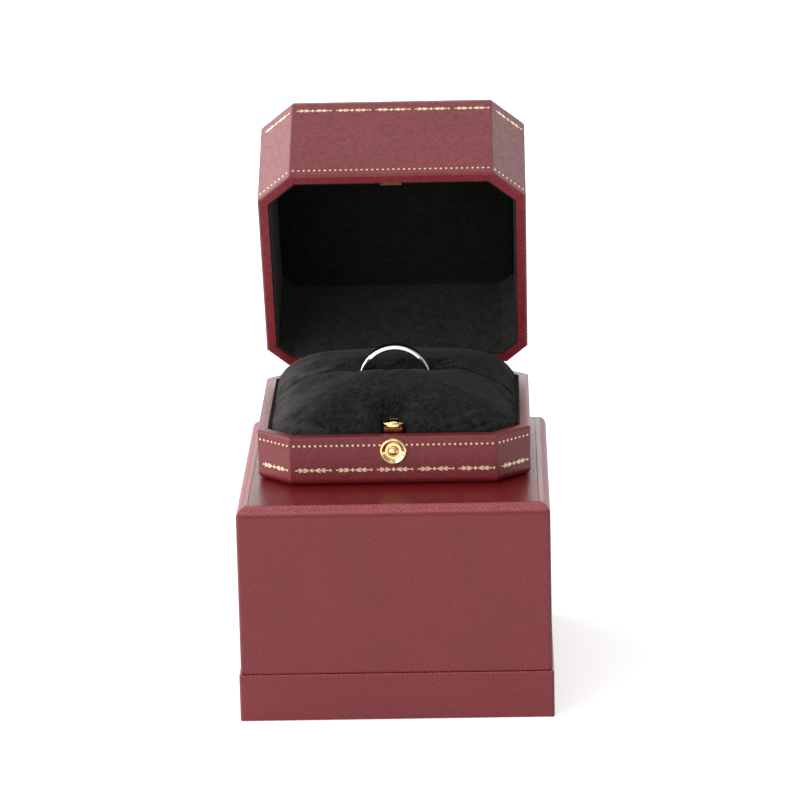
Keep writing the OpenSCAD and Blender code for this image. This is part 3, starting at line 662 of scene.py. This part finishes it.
def cushion_outline(half_notch, shrink=1.0, main=190, wall=10, end=14):
    """The cushion's outline: the softened octagon, then round the notch for the catch at its front.

    main, wall and end are how many points go round the octagon, along each notch wall and across it."""
    front = reach(cushion_edge, np.array([-np.pi / 2]), cushion_softness)[0] * shrink
    a0 = -np.pi / 2 + math.atan2(half_notch + 0.3, front)
    a = a0 + np.arange(main) / (main - 1) * (2 * np.pi - 2 * (a0 + np.pi / 2))
    r = reach(cushion_edge, a, cushion_softness) * shrink
    body = np.c_[r * np.cos(a), r * np.sin(a)]
    down = np.linspace(0, 1, wall, endpoint=False)[1:, None]
    left = (1 - down) * (-half_notch, -front) + down * (-half_notch, notch_end)
    t = np.linspace(np.pi, 0, end)
    tip = np.c_[half_notch * np.cos(t), np.full(end, notch_end)]
    right = left[::-1] * (-1, 1)
    whole = np.vstack([body, left, tip, right])
    for _ in range(3):
        whole = (np.roll(whole, 1, 0) + 2 * whole + np.roll(whole, -1, 0)) / 4
    return whole


# folds drawn in the suede: from x, y to x, y, then depth and half width, all in mm
folds = (
    (9, 2, 26, 2.5, 0.42, 0.8), (-9, 2, -26, 3.0, 0.45, 0.8), (21, 6, 27, -9, 0.4, 0.8),
    (17, 7, 25, -4, 0.25, 0.9), (22, 16, 28, 4, 0.3, 0.9), (13, -8, 25, -12, 0.15, 1.3),
    (-13, -3, -26, -9, 0.22, 1.6), (-12, 12, -24, 15, 0.25, 1.4), (12, 13, 22, 16, 0.18, 1.4),
)


def crown(x, y):
    """Height of the pillow: shoulder + rise (1 - s^p)^e, s the share of the way out in a direction, where
    p = 2.5 + 0.5 b, e = 0.8 - 0.35 b - 0.15 b^2 and b is that direction's sine: it falls gently to the
    front and sides and stays full to the back. Less a dimple at the catch, dips along the slit, folds."""
    s = np.clip(np.hypot(x, y) / reach(cushion_edge, np.arctan2(y, x), cushion_softness), 0, 1)
    b = y / np.maximum(np.hypot(x, y), 1e-6)
    z = shoulder + (crown_top - shoulder) * (1 - s ** (2.5 + 0.5 * b)) ** (0.8 - 0.35 * b - 0.15 * b**2)
    # fuller behind the slit
    z += 0.9 * (1 - s**6) / (1 + np.exp(-(y - 9) / 2.5))
    # the dimple behind the catch, and the lips of its notch rolled down
    behind = np.clip(y - notch_end, 0, None)
    beside = np.clip(np.abs(x) - 1.5, 0, None)
    z -= 2.3 * np.exp(-((beside / 2.4) ** 2) - (behind / 2.8) ** 2) * (1 - s**8)
    near = np.hypot(np.clip(np.abs(x) - notch_half, 0, None), behind)
    lip_roll = 0.8
    z -= lip_roll * (1 - np.sqrt(1 - (1 - np.clip(near / lip_roll, 0, 1)) ** 2))
    # the slit's lips
    past_end, past_lip = np.abs(x) - slit_half, np.abs(y - slit_y) - slit_wide
    away = np.hypot(np.clip(past_end, 0, None), np.clip(past_lip, 0, None))
    z -= 0.7 * np.exp(-(away / 2.2) ** 2) + 0.35 * np.exp(-(away / 0.5) ** 2)
    for fx, fy, tx, ty, deep, wide in folds:
        d = np.array([tx - fx, ty - fy], float)
        long = np.linalg.norm(d)
        u = ((x - fx) * d[0] + (y - fy) * d[1]) / long**2
        v = ((y - fy) * d[0] - (x - fx) * d[1]) / long + 0.5 * np.sin(5 * u + fx)
        z -= deep * np.exp(-(v / wide) ** 2) * np.exp(-(((u - 0.5) / 0.6) ** 4)) * (1 - s**6)
    return z


# rings from the bottom of the slit up to its lips, out over the crown and down the sides to the card,
# where the notch widens into the pocket that the catch works in
edge = cushion_outline(notch_half)
low_edge = cushion_outline(pocket_half, 0.99)
direction = np.arctan2(edge[:, 1] - slit_y, edge[:, 0])
# the slit's mouth: half length |cos|^0.55 and half width |sin|^0.4, a long rounded oblong
lip = np.c_[
    slit_half * np.sign(np.cos(direction)) * np.abs(np.cos(direction)) ** 0.55,
    slit_y + slit_wide * np.sign(np.sin(direction)) * np.abs(np.sin(direction)) ** 0.4,
]
# down in the slit its ends follow the ring's round: half a chord of a circle a little larger than it
ring_middle, slit_round = 17.4, 9.05
rings = []
for z in (8.6, 9.6, 11.2, 13.2, 15.4, 17.4, 18.6):
    long = math.sqrt(max(slit_round**2 - min(z - ring_middle, 0) ** 2, 4)) / slit_round
    rings.append(np.c_[lip[:, 0] * long, lip[:, 1], np.full(len(lip), z)])
close_to_edge = 1 - 0.2 * (1 - np.linspace(0, 1, 20)[1:]) ** 1.8
for share in [0, 0.012, 0.03, 0.055, *np.linspace(0.09, 0.8, 20), *close_to_edge]:
    flat = lip + (edge - lip) * share
    rings.append(np.c_[flat, crown(flat[:, 0], flat[:, 1])])
free_rings = (8, len(rings) - 2)
for z, k in ((10.2, 0.997), (9.0, 0.995), (7.0, 0.992), (5.0, 0.985), (3.6, 0.975), (foot, 0.96)):
    rings.append(np.c_[low_edge * k, np.full(len(low_edge), z)])
rings = np.stack(rings)
cushion = rings_mesh("ring_cushion_suede", rings[:, ::-1])

# Soft foam: blown up a little as cloth at ten times its size, held at its slit and sides, and
# capped at 0.5 mm. What is kept of it is the swell and the small puckers.
enlarged, settling, most_swell = 10, 20, 0.0005
dummy_mesh = cushion.data.copy()
dummy_mesh.transform(Matrix.Scale(enlarged, 4))
dummy = bpy.data.objects.new("cushion_cloth", dummy_mesh)
scene.collection.objects.link(dummy)
held = np.ones(len(rings) * rings.shape[1])
held[free_rings[0] * rings.shape[1] : free_rings[1] * rings.shape[1]] = 0
group = dummy.vertex_groups.new(name="held")
group.add(np.flatnonzero(held).tolist(), 1.0, "REPLACE")
cloth = dummy.modifiers.new("cloth", "CLOTH")
c = cloth.settings
c.quality, c.mass = 6, 0.2
c.tension_stiffness = c.compression_stiffness = 20
c.bending_stiffness = 0.4
c.use_pressure, c.uniform_pressure_force = True, 4.0
c.shrink_min = -0.05
c.vertex_group_mass = "held"
c.effector_weights.gravity = 0
cloth.collision_settings.use_collision = False
cloth.collision_settings.use_self_collision = False
for step in range(1, settling + 1):
    scene.frame_set(step)
settled = dummy.evaluated_get(bpy.context.evaluated_depsgraph_get()).to_mesh()
after = np.empty(len(settled.vertices) * 3)
settled.vertices.foreach_get("co", after)
before = np.empty(len(cushion.data.vertices) * 3)
cushion.data.vertices.foreach_get("co", before)
before = before.reshape(-1, 3)
move = after.reshape(-1, 3) / enlarged - before
size = np.linalg.norm(move, axis=1)[:, None]
move *= np.minimum(1, most_swell / np.maximum(size, 1e-9))
cushion.data.vertices.foreach_set("co", (before + move).ravel())
bpy.data.objects.remove(dummy)
scene.frame_set(1)
stand_on_carton(cushion)
# Longer nap that has been stroked over on the left, where it shows lighter.
cushion_suede = suede("black_suede_cushion", "#0B0A0A", "#282725", "#4A4745", 0.55, 0.7, (-0.014, -0.027))
cushion.data.materials.append(cushion_suede)
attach(cushion, "ring_box")
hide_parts("ring_cushion")

# ---------- Ring ----------
# A plain band of rhodium-plated white gold with softened edges, mirror polished. It stands in the slit
# with nearly two thirds of its height below the lips.
dress("ring_band", metal("polished_white_gold", "#EDEDEB", "#E2E2E0", 0.07, 4.0))

# ---------- Studio ----------
# White table and surround. The main soft light stands to the left and in front, with a fill beside it
# and one in front. Softer ones stand overhead and behind, and give the slanted corners their sheen.
def panel_light(name, place, wide, high, brightness):
    """A rectangular soft light of a given radiance at a place, turned to face the box."""
    data = bpy.data.lights.new(name, "AREA")
    data.shape, data.size, data.size_y = "RECTANGLE", wide, high
    data.energy = brightness * math.pi * wide * high
    lamp = bpy.data.objects.new(name, data)
    lamp.location = place
    box_middle = Vector((0, 0.01, 0.08))
    lamp.rotation_euler = (box_middle - Vector(place)).to_track_quat("-Z", "Y").to_euler()
    scene.collection.objects.link(lamp)


panel_light("left_key", (-1.0, -1.0, 0.7), 1.3, 1.1, 2.9)
panel_light("left_fill", (-1.1, 0.0, 0.4), 0.9, 0.8, 2.9)
panel_light("front_fill", (0.0, -1.3, 0.8), 0.9, 0.7, 1.7)
panel_light("overhead", (0.0, 0.05, 1.3), 1.0, 0.8, 0.6)
panel_light("high_back", (0.0, 0.75, 1.15), 1.0, 0.6, 0.75)
panel_light("back_left", (-0.72, 0.72, 0.5), 0.4, 0.8, 2.4)
panel_light("back_right", (0.6, 0.62, 0.5), 0.3, 0.26, 1.6)
panel_light("low_back", (0.0, 1.5, 0.45), 0.8, 0.5, 2.2)

table_mesh = bpy.data.meshes.new("table")
reaches = 4
table_mesh.from_pydata(
    [(-reaches, -reaches, 0), (reaches, -reaches, 0), (reaches, reaches, 0), (-reaches, reaches, 0)],
    [],
    [(0, 1, 2, 3)],
)
table = bpy.data.objects.new("table", table_mesh)
scene.collection.objects.link(table)
table_white, tree = start_material("white_table")
paint = add(tree, "ShaderNodeBsdfDiffuse", {"Color": (0.9, 0.9, 0.9, 1.0)})
rays = add(tree, "ShaderNodeLightPath").outputs
where = add(tree, "ShaderNodeTexCoord").outputs["Object"]
out = add(tree, "ShaderNodeVectorMath", {0: where}, operation="LENGTH").outputs["Value"]
# the lamps reach less of the table further out, so its own white comes up there
far_white = add(
    tree,
    "ShaderNodeMapRange",
    {"Value": out, "From Min": 0.3, "From Max": 1.4, "To Min": 0.56, "To Max": 1.0},
).outputs[0]
seen = add(tree, "ShaderNodeMath", {0: rays["Is Camera Ray"], 1: far_white}, operation="MULTIPLY").outputs[0]
seen = add(
    tree, "ShaderNodeMath", {0: rays["Is Glossy Ray"], 1: 0.48, 2: seen}, operation="MULTIPLY_ADD"
).outputs[0]
glow = add(tree, "ShaderNodeEmission", {"Color": (1, 1, 1, 1), "Strength": seen})
show(tree, add(tree, "ShaderNodeAddShader", {0: paint.outputs[0], 1: glow.outputs[0]}))
table_mesh.materials.append(table_white)

world = bpy.data.worlds.new("white_surround")
world.use_nodes = True
scene.world = world
tree = world.node_tree
tree.nodes.clear()
# The room that gloss sees: brightest low behind the box, dimmer overhead, dim round the camera.
way = add(tree, "ShaderNodeSeparateXYZ", {0: add(tree, "ShaderNodeTexCoord").outputs["Generated"]}).outputs
behind = add(
    tree,
    "ShaderNodeMapRange",
    {"Value": way[1], "From Min": -0.2, "From Max": 0.2, "To Min": 0.35, "To Max": 1.1},
).outputs[0]
high = add(tree, "ShaderNodeMapRange", {"Value": way[2], "From Min": 0.0, "From Max": 0.8}).outputs[0]
room = add(tree, "ShaderNodeMix", {0: high, 2: behind, 3: 0.5}).outputs[0]
rays = add(tree, "ShaderNodeLightPath").outputs
level = add(tree, "ShaderNodeMix", {0: rays["Is Glossy Ray"], 2: 0.28, 3: room}).outputs[0]
level = add(tree, "ShaderNodeMix", {0: rays["Is Camera Ray"], 2: level, 3: 1.0}).outputs[0]
level = add(tree, "ShaderNodeMix", {0: rays["Is Transmission Ray"], 2: level, 3: 1.0}).outputs[0]
surround = add(tree, "ShaderNodeBackground", {"Color": (1, 1, 1, 1), "Strength": level})
add(tree, "ShaderNodeOutputWorld", {"Surface": surround.outputs[0]})
